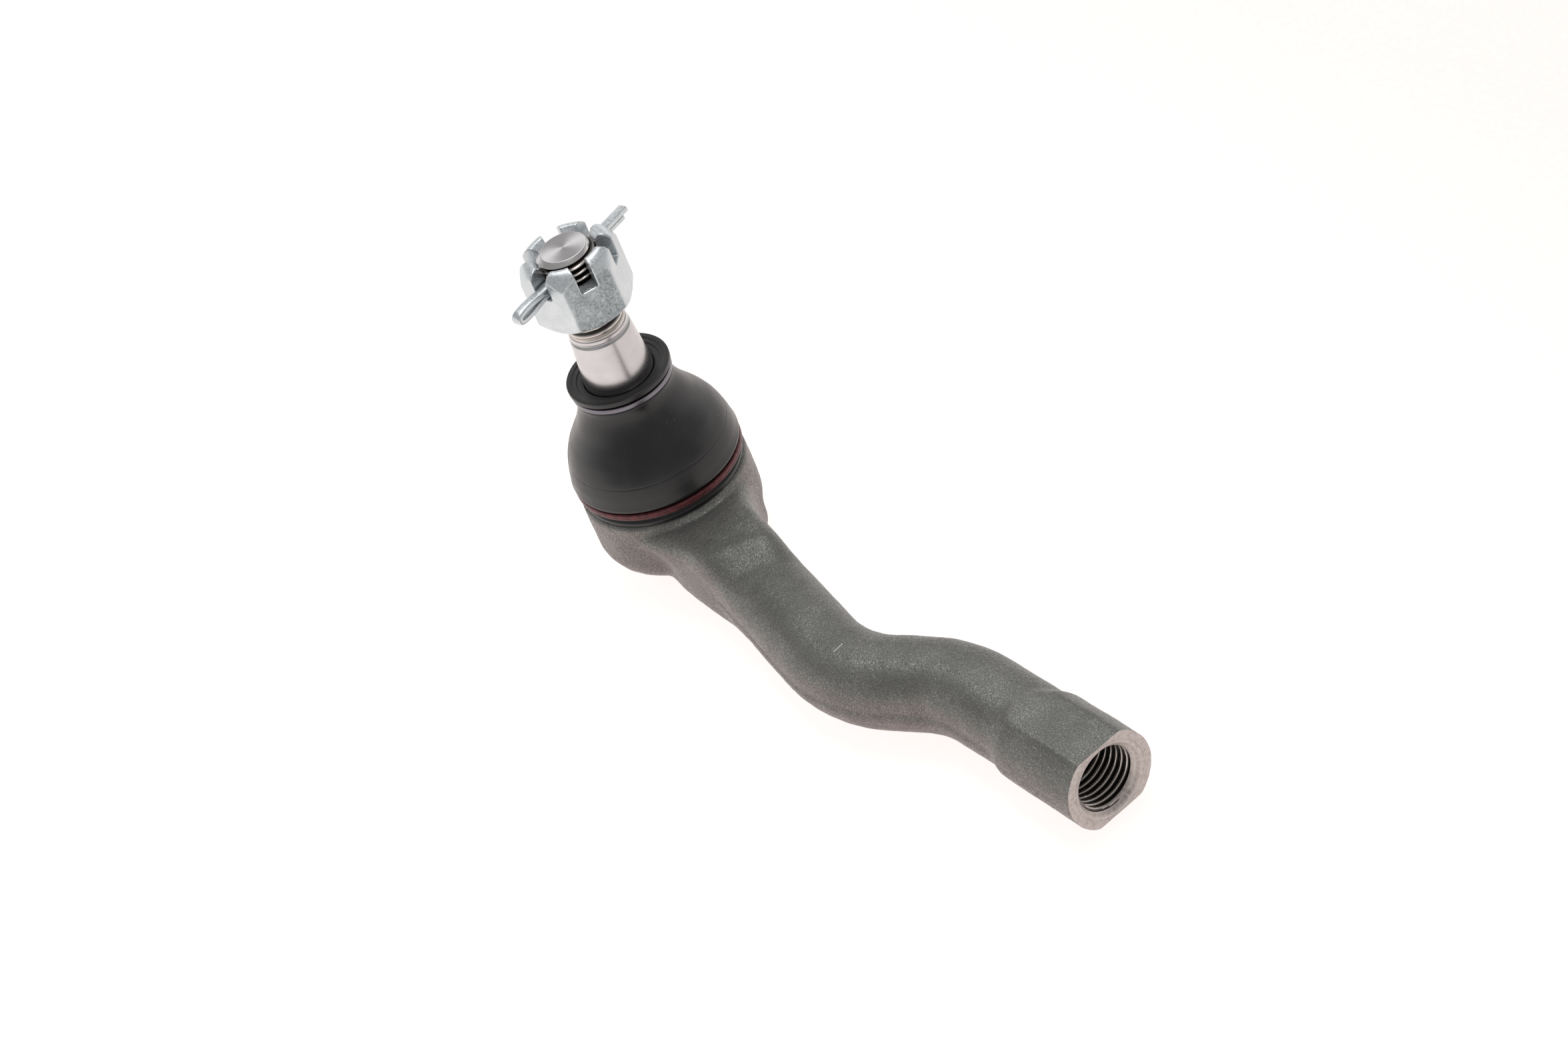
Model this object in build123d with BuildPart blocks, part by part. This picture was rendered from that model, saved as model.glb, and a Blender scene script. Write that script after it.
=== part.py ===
"""Outer tie rod end: forged housing, ball stud with seats, rubber boot, castle nut and cotter pin.

Millimetres. The origin is the centre of the ball. +Z runs along the stud to its threaded end,
and +X along the rod to the threaded barrel. The arm bows to -Y on its way.
"""

import os
from math import cos, radians, sin, sqrt

from build123d import *

# Driving dimensions
BALL_R = 10.0
SEAT_GAP = 0.05  # running clearance between the ball and its seats
NECK_R = 5.4
TAPER_SMALL_R, TAPER_TOP_Z, TAPER_RATIO = 6.7, 44.0, 12.0  # 1 mm of radius in 12 mm of height, so 1:6
TAPER_BOTTOM_Z = 30.0
THREAD_R = 5.95  # M12 x 1.5
STUD_TOP_Z = 67.2

ARM_Z = -4.0  # height of the arm and of the rod thread
ARM_CORNERS = ((73.0, -12.2), (94.3, 0.0))  # where the arm's straight runs would meet
ARM_BEND_R = 27.0
ARM_WIDE, ARM_HIGH, ARM_ROUND = 18.2, 17.4, 7.7
ROD_END_X = 136.9
BARREL_R, BARREL_FLAT, BARREL_START_X = 10.1, 8.6, 113.5
ROD_THREAD_R, ROD_DRILL_DEPTH = 6.2, 30.0  # M14 x 1.5, minor radius
ROD_CHAMFER_R = 7.7

DRUM_R, DRUM_BOTTOM_Z, SHOULDER_Z = 18.4, -15.2, 7.0
BOOT_SEAT_R, BOOT_SEAT_TOP_Z = 16.4, 11.4
SEAT_R, SEAT_TOP_Z = 12.5, 6.4
CAVITY_R, CAVITY_FLOOR_Z = 12.55, -12.0
RETAINER_R, RETAINER_TOP_Z = 13.4, 8.0

LIP_R, LIP_TOP_Z, LIP_BORE_R = 11.1, 35.2, 7.65
NECK_RING_Z, NECK_RING_HIGH, NECK_RING_R, NECK_RING_BORE_R = 32.05, 1.2, 10.9, 9.9
BASE_WIRE_R, BASE_RING_R, BASE_TURNS_Z = 0.57, 17.87, (9.5, 10.6)  # the turns press into each other

NUT_FLATS, NUT_Z, NUT_HIGH = 19.1, 52.3, 14.7
NUT_BORE_R, NUT_CORNER_ANGLE = 6.0, 17.0
SLOT_WIDE, SLOT_DEEP = 3.7, 5.7

PIN_R, PIN_Z, PIN_GAP = 1.2, 62.55, 0.06
PIN_ANGLE = 104.5  # heading of the pin's leg ends, through two opposite slots
PIN_HOLE_R = 1.45
PIN_LONG_LEG, PIN_SHORT_LEG, PIN_EYE_FROM, PIN_EYE_TIP = 17.9, 16.4, -10.2, -18.0
PIN_EYE_HIGH, PIN_EYE_THICK = 3.6, 1.15


def taper_r(z):
    """Radius of the stud's taper at height z."""
    return TAPER_SMALL_R + (TAPER_TOP_Z - z) / TAPER_RATIO


def sphere_z(r, sphere_r):
    """Height above the centre at which a sphere has the radius r."""
    return sqrt(sphere_r**2 - r**2)


def save(part, label):
    """Name a finished piece and write it to its own file."""
    part.label = label
    export_step(part, f"parts/{label}.step")


os.makedirs("parts", exist_ok=True)

# Housing: one forging with the socket drum, the S-shaped arm and the threaded barrel
arm_start = (0.0, 1.7)
first_run = (Vector(*ARM_CORNERS[0]) - Vector(*arm_start)).normalized()


def arm_section(along, wide, top_z, bottom_z, corner_r, shift=0.0):
    """Plane and size of a web section across the arm's first straight run, moved shift towards +Y."""
    centre = Vector(*arm_start) + first_run * along + Vector(0, 0, (top_z + bottom_z) / 2)
    centre += Vector(-first_run.Y, first_run.X, 0) * shift
    return Plane(centre, x_dir=(0, 0, 1), z_dir=first_run), top_z - bottom_z, wide, corner_r


arm_top_z = ARM_Z + ARM_HIGH / 2
arm_bottom_z = ARM_Z - ARM_HIGH / 2
web_sections = (
    arm_section(14.5, 21.4, 6.0, -12.9, 5.0, -1.3),
    arm_section(31.0, 18.4, 6.0, -12.9, 6.0, -0.6),
    arm_section(42.0, ARM_WIDE + 0.2, arm_top_z + 0.1, arm_bottom_z - 0.1, ARM_ROUND),
)

with BuildPart() as housing:
    with BuildSketch(Plane.XZ):
        with BuildLine():
            Polyline((0, DRUM_BOTTOM_Z), (9.3, DRUM_BOTTOM_Z), (DRUM_R, -6.5), (DRUM_R, SHOULDER_Z),
                     (BOOT_SEAT_R, SHOULDER_Z), (BOOT_SEAT_R, BOOT_SEAT_TOP_Z), (0, BOOT_SEAT_TOP_Z),
                     close=True)
        drum_face = make_face()
        fillet(drum_face.vertices().sort_by_distance((DRUM_R, 0, -6.5))[0], 6.0)
    revolve(axis=Axis.Z)
    with BuildLine(Plane.XY.offset(ARM_Z)) as arm_path:
        FilletPolyline(arm_start, *ARM_CORNERS, (BARREL_START_X + 6, 0), radius=ARM_BEND_R)
    with BuildSketch(Plane(arm_path.line @ 0, x_dir=(0, 0, 1), z_dir=arm_path.line % 0)):
        RectangleRounded(ARM_HIGH, ARM_WIDE, ARM_ROUND)
    sweep(path=arm_path.line)
    for plane, high, wide, corner_r in web_sections:
        with BuildSketch(plane):
            RectangleRounded(high, wide, corner_r)
    loft(ruled=True)
    with BuildSketch(Plane.YZ.offset(BARREL_START_X)) as barrel_section:
        with Locations((0, ARM_Z)):
            Circle(BARREL_R)
            Rectangle(3 * BARREL_R, 2 * BARREL_FLAT, mode=Mode.INTERSECT)
    extrude(amount=ROD_END_X - BARREL_START_X)
    # Cavity for the seats, the retainer ring's groove under the rolled rim, and the stud's opening
    with BuildSketch(Plane.XZ):
        with BuildLine():
            Polyline((0, CAVITY_FLOOR_Z), (8.6, CAVITY_FLOOR_Z), (CAVITY_R, -6.0), (CAVITY_R, 6.45),
                     (RETAINER_R + 0.05, 6.45), (RETAINER_R + 0.05, RETAINER_TOP_Z + 0.05),
                     (11.2, RETAINER_TOP_Z + 0.05), (12.4, BOOT_SEAT_TOP_Z + 1),
                     (0, BOOT_SEAT_TOP_Z + 1), close=True)
        make_face()
    revolve(axis=Axis.Z, mode=Mode.SUBTRACT)
    # Threaded bore in the rod end: mouth chamfer, wall at the minor radius, drill point
    with BuildSketch(Plane.XZ):
        with BuildLine():
            mouth = ROD_CHAMFER_R - ROD_THREAD_R
            drill_x = ROD_END_X - ROD_DRILL_DEPTH
            Polyline((drill_x - 3.5, ARM_Z), (drill_x, ARM_Z + ROD_THREAD_R),
                     (ROD_END_X - mouth, ARM_Z + ROD_THREAD_R), (ROD_END_X, ARM_Z + ROD_CHAMFER_R),
                     (ROD_END_X + 1, ARM_Z + ROD_CHAMFER_R), (ROD_END_X + 1, ARM_Z), close=True)
        make_face()
    revolve(axis=Axis((0, 0, ARM_Z), (1, 0, 0)), mode=Mode.SUBTRACT)
save(housing.part, "housing")

# Lower seat: plastic cup under the ball's equator, with a grease well at the bottom
with BuildPart() as lower_seat:
    with BuildSketch(Plane.XZ):
        with BuildLine():
            Polyline((0, -11.2), (8.4, -11.2), (SEAT_R, -5.9), (SEAT_R, -0.03), (0, -0.03), close=True)
        make_face()
        Circle(BALL_R + SEAT_GAP, mode=Mode.SUBTRACT)
        with Locations((0, -BALL_R)):
            Rectangle(6, 6, mode=Mode.SUBTRACT)
    revolve(axis=Axis.Z)
save(lower_seat.part, "lower_ball_seat")

# Upper seat: plastic ring that holds the ball down, flared for the stud's neck
SEAT_FLARE_Z = 4.95
with BuildPart() as upper_seat:
    with BuildSketch(Plane.XZ):
        with BuildLine():
            Polyline((0, 0.03), (SEAT_R, 0.03), (SEAT_R, SEAT_TOP_Z), (9.6, SEAT_TOP_Z),
                     (sphere_z(SEAT_FLARE_Z, BALL_R + SEAT_GAP), SEAT_FLARE_Z), (0, SEAT_FLARE_Z),
                     close=True)
        make_face()
        Circle(BALL_R + SEAT_GAP, mode=Mode.SUBTRACT)
    revolve(axis=Axis.Z)
save(upper_seat.part, "upper_ball_seat")

# Preload spring: dished washer that presses the lower seat against the ball
with BuildPart() as preload_spring:
    with BuildSketch(Plane.XZ):
        with BuildLine():
            Polyline((4.0, -11.75), (4.0, -11.23), (5.0, -11.23), (8.3, -11.45), (8.3, -11.95),
                     (7.3, -11.95), close=True)
        make_face()
    revolve(axis=Axis.Z)
save(preload_spring.part, "preload_spring")

# Retainer ring: steel ring under the housing's rolled rim, over the upper seat
with BuildPart() as retainer_ring:
    with BuildSketch(Plane.XZ):
        with BuildLine():
            Polyline((9.7, 6.5), (RETAINER_R, 6.5), (RETAINER_R, RETAINER_TOP_Z), (10.5, RETAINER_TOP_Z),
                     close=True)
        make_face()
    revolve(axis=Axis.Z)
save(retainer_ring.part, "retainer_ring")

# Ball stud: ball, neck, 1:6 taper, thread and cross hole
ball_top_z = sphere_z(NECK_R, BALL_R)
with BuildPart() as ball_stud:
    with BuildSketch(Plane.XZ):
        with BuildLine():
            ThreePointArc((0, -BALL_R), (BALL_R, 0), (NECK_R, ball_top_z))
            Polyline((NECK_R, ball_top_z), (NECK_R, 12.0), (taper_r(TAPER_BOTTOM_Z), 24.0),
                     (taper_r(TAPER_BOTTOM_Z), TAPER_BOTTOM_Z), (taper_r(45.6), 45.6), (6.45, 45.8), (6.45, 46.2),
                     (5.3, 46.6), (5.3, 47.0), (THREAD_R, 47.6), (THREAD_R, STUD_TOP_Z - 1.2),
                     (THREAD_R - 1.2, STUD_TOP_Z), (0, STUD_TOP_Z), (0, -BALL_R))
        make_face()
    revolve(axis=Axis.Z)
    pin_heading = (cos(radians(PIN_ANGLE)), sin(radians(PIN_ANGLE)), 0)
    pin_plane = Plane((0, 0, PIN_Z), x_dir=(-pin_heading[1], pin_heading[0], 0), z_dir=pin_heading)
    with BuildSketch(pin_plane):
        Circle(PIN_HOLE_R)
    extrude(amount=2 * THREAD_R, both=True, mode=Mode.SUBTRACT)
save(ball_stud.part, "ball_stud")

# Boot: thin rubber bell between the stepped lip on the stud and the base bead on the socket
BELL_OUTSIDE = ((18.6, 11.7), (18.1, 14.5), (17.3, 18.0), (15.1, 21.6), (12.3, 25.7), (10.75, 29.0),
                (10.7, 31.9))
BELL_INSIDE = ((9.3, 31.0), (9.4, 28.2), (11.0, 24.6), (13.6, 20.9), (15.6, 17.4), (16.5, 14.0), (16.5, 12.2))
with BuildPart() as dust_boot:
    with BuildSketch(Plane.XZ):
        with BuildLine():
            Spline(*BELL_OUTSIDE)
            Polyline(BELL_OUTSIDE[-1], (NECK_RING_BORE_R - 0.1, 31.95), (NECK_RING_BORE_R - 0.1, 33.35), (10.4, 33.4),
                     (10.4, 33.75), (LIP_R, 33.85), (LIP_R, LIP_TOP_Z), (LIP_BORE_R + 1.6, LIP_TOP_Z - 0.5),
                     (LIP_BORE_R, LIP_TOP_Z - 0.8), (LIP_BORE_R + 0.3, 31.4), BELL_INSIDE[0])
            Spline(*BELL_INSIDE)
            Polyline(BELL_INSIDE[-1], (BOOT_SEAT_R + 0.1, SHOULDER_Z + 0.1), (18.3, SHOULDER_Z + 0.1), (18.3, 8.3),
                     (17.2, 8.5), (17.2, 11.6), BELL_OUTSIDE[0])
        make_face()
    revolve(axis=Axis.Z)
save(dust_boot.part, "dust_boot")

# Boot rings: a flat steel ring at the neck, and a round wire wound in two turns at the base
with BuildPart() as neck_ring:
    with BuildSketch(Plane.XY.offset(NECK_RING_Z)):
        Circle(NECK_RING_R)
        Circle(NECK_RING_BORE_R, mode=Mode.SUBTRACT)
    extrude(amount=NECK_RING_HIGH)
save(neck_ring.part, "boot_neck_ring")

with BuildPart() as base_ring:
    with BuildSketch(Plane.XZ):
        with Locations(*[(BASE_RING_R, turn_z) for turn_z in BASE_TURNS_Z]):
            Circle(BASE_WIRE_R)
    revolve(axis=Axis.Z)
save(base_ring.part, "boot_base_ring")

# Grease pack: the filling around the stud's neck, under the boot
with BuildPart() as grease_pack:
    with BuildSketch(Plane.XZ):
        with BuildLine():
            Polyline((6.0, 11.6), (11.0, 11.6), (14.2, 13.2), (14.2, 16.0), (11.6, 20.4), (8.3, 20.4), close=True)
        make_face()
    revolve(axis=Axis.Z)
save(grease_pack.part, "grease_pack")

# Castle nut: full hexagon with six slots in the middle of its flats
with BuildPart() as castle_nut:
    with BuildSketch(Plane.XY.offset(NUT_Z)):
        RegularPolygon(NUT_FLATS / 2, 6, major_radius=False, rotation=NUT_CORNER_ANGLE)
        Circle(NUT_BORE_R, mode=Mode.SUBTRACT)
    extrude(amount=NUT_HIGH)
    with BuildSketch(Plane.XZ):
        with BuildLine():
            Polyline((0, NUT_Z), (9.1, NUT_Z), (12.1, NUT_Z + 2.4), (12.1, NUT_Z + NUT_HIGH - 3.2),
                     (8.8, NUT_Z + NUT_HIGH), (0, NUT_Z + NUT_HIGH), close=True)
        make_face()
    revolve(axis=Axis.Z, mode=Mode.INTERSECT)
    with BuildSketch(Plane.XY.offset(NUT_Z + NUT_HIGH)):
        with PolarLocations(NUT_FLATS / 2, 6, start_angle=NUT_CORNER_ANGLE + 30):
            Rectangle(NUT_FLATS - 6, SLOT_WIDE)
    extrude(amount=-SLOT_DEEP, mode=Mode.SUBTRACT)
save(castle_nut.part, "castle_nut")

# Cotter pin: half-round wire folded on itself, with an eye in the upright plane
with BuildPart() as cotter_pin:
    for side, leg_end in ((1, PIN_LONG_LEG), (-1, PIN_SHORT_LEG)):
        leg_plane = pin_plane.offset(PIN_EYE_FROM)
        with BuildSketch(leg_plane):
            Circle(PIN_R)
            with Locations((0, side * (PIN_R + PIN_GAP / 2))):
                Rectangle(2 * PIN_R, 2 * PIN_R, mode=Mode.INTERSECT)
        extrude(amount=leg_end - PIN_EYE_FROM)
    eye_plane = Plane((0, 0, PIN_Z), x_dir=pin_heading, z_dir=(pin_heading[1], -pin_heading[0], 0))
    eye_long = PIN_EYE_FROM - PIN_EYE_TIP + 0.6
    with BuildSketch(eye_plane):
        with Locations((PIN_EYE_TIP + eye_long / 2, 0)):
            Ellipse(eye_long / 2, PIN_EYE_HIGH / 2)
            Ellipse(eye_long / 2 - PIN_EYE_THICK, PIN_EYE_HIGH / 2 - PIN_EYE_THICK, mode=Mode.SUBTRACT)
    extrude(amount=PIN_R, both=True)
save(cotter_pin.part, "cotter_pin")
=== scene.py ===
"""Looks of the tie rod end: forged housing, ground ball stud, rubber boot, castle nut and cotter pin.

Lengths in the outlines are millimetres in the part's own frame: the ball's centre is the origin,
+Z runs along the stud, +X along the rod. Meshes are built in metres.
"""

import math

import bmesh
import bpy
import numpy as np
from mathutils import Matrix, Vector, noise


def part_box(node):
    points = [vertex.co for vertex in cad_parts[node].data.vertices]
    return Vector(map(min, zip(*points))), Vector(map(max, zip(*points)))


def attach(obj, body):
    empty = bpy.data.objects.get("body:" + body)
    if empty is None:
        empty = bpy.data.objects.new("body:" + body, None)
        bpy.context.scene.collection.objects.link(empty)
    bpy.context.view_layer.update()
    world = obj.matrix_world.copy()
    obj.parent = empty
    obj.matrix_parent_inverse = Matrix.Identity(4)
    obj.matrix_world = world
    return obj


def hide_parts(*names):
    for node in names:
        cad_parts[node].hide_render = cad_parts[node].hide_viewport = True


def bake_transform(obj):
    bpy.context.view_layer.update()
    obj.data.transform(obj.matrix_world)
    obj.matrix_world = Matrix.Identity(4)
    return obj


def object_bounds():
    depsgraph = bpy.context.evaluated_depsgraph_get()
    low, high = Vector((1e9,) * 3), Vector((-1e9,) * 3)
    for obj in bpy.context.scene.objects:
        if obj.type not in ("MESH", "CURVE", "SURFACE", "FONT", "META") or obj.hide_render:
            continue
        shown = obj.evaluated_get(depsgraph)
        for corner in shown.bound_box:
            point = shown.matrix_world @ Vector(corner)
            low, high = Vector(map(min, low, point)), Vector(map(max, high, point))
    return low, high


MM = 0.001

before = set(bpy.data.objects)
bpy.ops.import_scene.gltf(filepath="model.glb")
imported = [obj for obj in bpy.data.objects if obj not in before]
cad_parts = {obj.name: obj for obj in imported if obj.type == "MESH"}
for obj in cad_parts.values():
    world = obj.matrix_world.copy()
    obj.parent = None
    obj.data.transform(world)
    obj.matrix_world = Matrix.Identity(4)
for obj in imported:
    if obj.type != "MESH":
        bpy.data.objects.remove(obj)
cad_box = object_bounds()


def top_of(node):
    """Highest corner of a CAD node in millimetres."""
    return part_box(node)[1] / MM


def bottom_of(node):
    """Lowest corner of a CAD node in millimetres."""
    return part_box(node)[0] / MM


# ---- Sizes that the CAD model sets ----

ROD_END_X = top_of("housing").x
DRUM_BOTTOM_Z = bottom_of("housing").z
STUD_TOP_Z = top_of("ball_stud").z
NUT_BOTTOM_Z, NUT_TOP_Z = bottom_of("castle_nut").z, top_of("castle_nut").z
LIP_TOP_Z = top_of("dust_boot").z
NECK_RING_LOW_Z, NECK_RING_TOP_Z = bottom_of("boot_neck_ring").z, top_of("boot_neck_ring").z
NECK_RING_R = top_of("boot_neck_ring").x
BASE_RING_LOW_Z, BASE_RING_TOP_Z = bottom_of("boot_base_ring").z, top_of("boot_base_ring").z
BASE_RING_R = top_of("boot_base_ring").x
BALL_R = -bottom_of("ball_stud").z

ARM_Z = -4.0
ARM_START = (0.0, 1.7)
ARM_CORNERS = ((73.0, -12.2), (94.3, 0.0))
ARM_BEND_R = 27.0
BARREL_START_X, BARREL_R, BARREL_FLAT = 115.5, 10.1, 8.6
BARREL_SKEW = 0.2  # the barrel begins later on the +Y side
DRUM_R, SHOULDER_Z = 18.4, 7.0
BOOT_SEAT_R, BOOT_SEAT_TOP_Z = 16.4, 11.4
ROD_THREAD_MAJOR_R, ROD_THREAD_MINOR_R, ROD_THREAD_PITCH = 7.0, 6.2, 1.5
ROD_CHAMFER_R, ROD_THREAD_LONG = 7.7, 30.0
SCRATCH_FROM, SCRATCH_TO, SCRATCH_HALF_WIDE = (73.1, -12.5), (72.9, -10.0), 0.1
FORGING_CELL, NUT_CELL = 0.5, 0.2  # sizes of the even meshes that these two are rebuilt as
FLASH_HIGH = 0.35
STUD_THREAD_R, STUD_THREAD_PITCH = 6.0, 1.5
NECK_R = 5.4
NUT_FLATS, NUT_CORNER_ROUND = 19.1, 0.9
NUT_CORNER_ANGLE = math.radians(17.0)
SHADED_FLAT_ANGLE = math.radians(-13.0)
SLOT_WIDE, SLOT_DEEP = 3.7, 5.7
PIN_R, PIN_HOLE_R = 1.2, 1.45
PIN_Z, PIN_ANGLE = 62.55, math.radians(104.5)
PIN_LONG_LEG, PIN_SHORT_LEG, PIN_EYE_FROM, PIN_EYE_TIP = 17.9, 16.4, -10.2, -18.0


# ---- Materials ----


def linear(hex_code):
    """An sRGB hex colour as linear red, green, blue and alpha."""
    channels = [int(hex_code[i:i + 2], 16) / 255 for i in (1, 3, 5)]
    return [c / 12.92 if c <= 0.04045 else ((c + 0.055) / 1.055) ** 2.4 for c in channels] + [1.0]


def plug(tree, node, inputs):
    """Fill a node's inputs: a socket is linked, anything else becomes the input's value."""
    for name, value in inputs.items():
        if isinstance(value, bpy.types.NodeSocket):
            tree.links.new(value, node.inputs[name])
        else:
            node.inputs[name].default_value = value


def add(tree, kind, inputs=None, **settings):
    """Add a node: settings are its properties, inputs are values or sockets for its sockets."""
    made = tree.nodes.new(kind)
    for name, value in settings.items():
        setattr(made, name, value)
    plug(tree, made, inputs or {})
    return made


def material(name):
    """A new material with its tree, its shader and the piece's own coordinates."""
    made = bpy.data.materials.new(name)
    made.use_nodes = True
    tree = made.node_tree
    shader = tree.nodes["Principled BSDF"]
    place = add(tree, "ShaderNodeTexCoord").outputs["Object"]
    return made, tree, shader, place


def grain(tree, place, size_mm, detail=3.0, roughness=0.55):
    """Noise whose lumps are about size_mm across, as a factor socket."""
    inputs = {"Vector": place, "Scale": 1 / (size_mm * MM), "Detail": detail, "Roughness": roughness}
    return add(tree, "ShaderNodeTexNoise", inputs).outputs["Fac"]


def ramp(tree, factor, *stops):
    """A colour ramp through (position, hex colour) stops."""
    made = add(tree, "ShaderNodeValToRGB", {"Fac": factor})
    elements = made.color_ramp.elements
    while len(elements) < len(stops):
        elements.new(0.5)
    for element, (position, hex_code) in zip(elements, stops):
        element.position = position
        element.color = linear(hex_code)
    return made.outputs["Color"]


def spread(tree, factor, low, high, to_low, to_high):
    """Map a factor from one range to another, clamped."""
    inputs = {"Value": factor, "From Min": low, "From Max": high, "To Min": to_low, "To Max": to_high}
    return add(tree, "ShaderNodeMapRange", inputs).outputs["Result"]


def bump(tree, height, depth_mm, under=None):
    """A bump of depth_mm, optionally on top of another bump."""
    inputs = {"Height": height, "Distance": depth_mm * MM, "Strength": 1.0}
    if under is not None:
        inputs["Normal"] = under
    return add(tree, "ShaderNodeBump", inputs).outputs["Normal"]


def maths(tree, operation, first, second=0.0):
    """One arithmetic step between sockets or numbers."""
    return add(tree, "ShaderNodeMath", {0: first, 1: second}, operation=operation).outputs[0]


def times(tree, first, second):
    """The product of two sockets or numbers."""
    return maths(tree, "MULTIPLY", first, second)


def weighed(tree, first, part, second):
    """A mixture of two factors, with the given part of the first."""
    return maths(tree, "ADD", times(tree, first, part), times(tree, second, 1 - part))


def dot(tree, vector, direction):
    """How far a vector runs along a direction."""
    made = add(tree, "ShaderNodeVectorMath", {0: vector, 1: direction}, operation="DOT_PRODUCT")
    return made.outputs["Value"]


def mix(tree, factor, first, second):
    """Mix two colours, each a socket or a hex code."""
    inputs = {"Factor": factor}
    for place, colour in ((6, first), (7, second)):
        inputs[place] = linear(colour) if isinstance(colour, str) else colour
    return add(tree, "ShaderNodeMix", inputs, data_type="RGBA").outputs[2]


def facing(tree, direction):
    """How far the piece's own surface faces a direction, from -1 to 1."""
    return dot(tree, add(tree, "ShaderNodeTexCoord").outputs["Normal"], direction)


def scratch_mask(tree, place, start, end, width_mm):
    """1 inside a thin straight scratch between two points (x, y) in mm on the top, else 0."""
    run = Vector(end) - Vector(start)
    half = run.length / 2 * MM
    run.normalize()
    origin = (start[0] * MM, start[1] * MM, 0)
    moved = add(tree, "ShaderNodeVectorMath", {0: place, 1: origin}, operation="SUBTRACT").outputs["Vector"]
    off = maths(tree, "ABSOLUTE", dot(tree, moved, (-run.y, run.x, 0)))
    ends = maths(tree, "ABSOLUTE", maths(tree, "SUBTRACT", dot(tree, moved, (run.x, run.y, 0)), half))
    inside = times(tree, maths(tree, "LESS_THAN", off, width_mm * MM), maths(tree, "LESS_THAN", ends, half))
    return times(tree, inside, maths(tree, "GREATER_THAN", facing(tree, (0, 0, 1)), 0.5))


def forged_steel():
    """Phosphated carbon steel forging: matte dark grey sandy grain whose brightest specks are painted
    glints, with a painted warm reflection of the floor on its sides.
    """
    made, tree, shader, place = material("phosphated_forged_steel")
    # blasted scale is grained at about 0.15 mm, drawn at 0.3 mm so that it shows; its brightest grains are
    # painted glints
    sand = grain(tree, place, 0.3, 1.0)
    pits = grain(tree, place, 0.9, 3.0)
    mottle = grain(tree, place, 9.0, 4.0, 0.6)
    shade = weighed(tree, mottle, 0.35, sand)
    coat = ramp(tree, shade, (0.34, "#595956"), (0.5, "#696966"), (0.6, "#787874"), (0.7, "#92928d"))
    # the warm copy of the coat is a painted reflection of the floor, laid on the sides that face down
    floor_tinted_coat = ramp(tree, shade, (0.34, "#605451"), (0.5, "#746966"), (0.6, "#847976"), (0.7, "#9f9491"))
    floor_reflection_mask = spread(tree, facing(tree, (0, 0, 1)), -0.3, 0.5, 1.0, 0.0)
    scratch = scratch_mask(tree, place, SCRATCH_FROM, SCRATCH_TO, SCRATCH_HALF_WIDE)
    plug(tree, shader, {
        "Base Color": mix(tree, scratch, mix(tree, floor_reflection_mask, coat, floor_tinted_coat), "#c4c4c1"),
        "Roughness": spread(tree, sand, 0.35, 0.7, 0.54, 0.3),
        "Metallic": 0.4,
        "Normal": bump(tree, sand, 0.045, bump(tree, pits, 0.13)),
    })
    return made


def rings_about(tree, height, sideways, apart_mm, detail=3.0):
    """Noise that changes only with the distance from an axis, as on a turned face, and that distance."""
    squares = maths(tree, "ADD", times(tree, height, height), times(tree, sideways, sideways))
    radius = maths(tree, "SQRT", squares)
    inputs = {"W": times(tree, radius, 1 / (apart_mm * MM)), "Scale": 1.0, "Detail": detail}
    return add(tree, "ShaderNodeTexNoise", inputs, noise_dimensions="1D").outputs["Fac"], radius


def lay_round(tree, place, across, along, detail):
    """Fine marks that run round the stud's axis: noise stretched sideways, in lumps per metre."""
    stretched = add(tree, "ShaderNodeMapping", {"Vector": place, "Scale": (across, across, along)})
    inputs = {"Vector": stretched.outputs["Vector"], "Scale": 1.0, "Detail": detail}
    return add(tree, "ShaderNodeTexNoise", inputs).outputs["Fac"]


def machined_steel():
    """Turned carbon steel: pale and satin, with fine circular tool marks about the bore's axis."""
    made, tree, shader, place = material("turned_carbon_steel")
    apart = add(tree, "ShaderNodeSeparateXYZ", {"Vector": place}).outputs
    marks, _ = rings_about(tree, maths(tree, "SUBTRACT", apart["Z"], ARM_Z * MM), apart["Y"], 0.5)
    dirt = grain(tree, place, 0.7, 4.0, 0.6)
    both = weighed(tree, marks, 0.3, dirt)
    plug(tree, shader, {
        "Base Color": ramp(tree, both, (0.32, "#988d88"), (0.5, "#b5aca8"), (0.68, "#c6bfbb")),
        "Roughness": spread(tree, dirt, 0.3, 0.7, 0.36, 0.55),
        "Metallic": 0.85,
        "Normal": bump(tree, both, 0.03),
    })
    return made


def cut_thread(name, axis_z, root_r, crest_r):
    """Thread cut in steel about X, or about Z when axis_z is None: crests painted bright as highlights,
    roots painted dark as shade.
    """
    made, tree, shader, place = material(name)
    apart = add(tree, "ShaderNodeSeparateXYZ", {"Vector": place}).outputs
    height = apart["X"] if axis_z is None else maths(tree, "SUBTRACT", apart["Z"], axis_z * MM)
    _, radius = rings_about(tree, height, apart["Y"], 1.0)
    # the crest factor paints the crests light as highlights and the roots dark as shade, and also sets the
    # roughness
    crest = spread(tree, radius, root_r * MM, crest_r * MM, 0.0, 1.0)
    plug(tree, shader, {
        "Base Color": ramp(tree, crest, (0.15, "#1b1917"), (0.6, "#5e5a57"), (0.95, "#c9c2bd")),
        "Roughness": spread(tree, crest, 0.0, 1.0, 0.5, 0.24),
        "Metallic": 1.0,
    })
    return made


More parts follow.
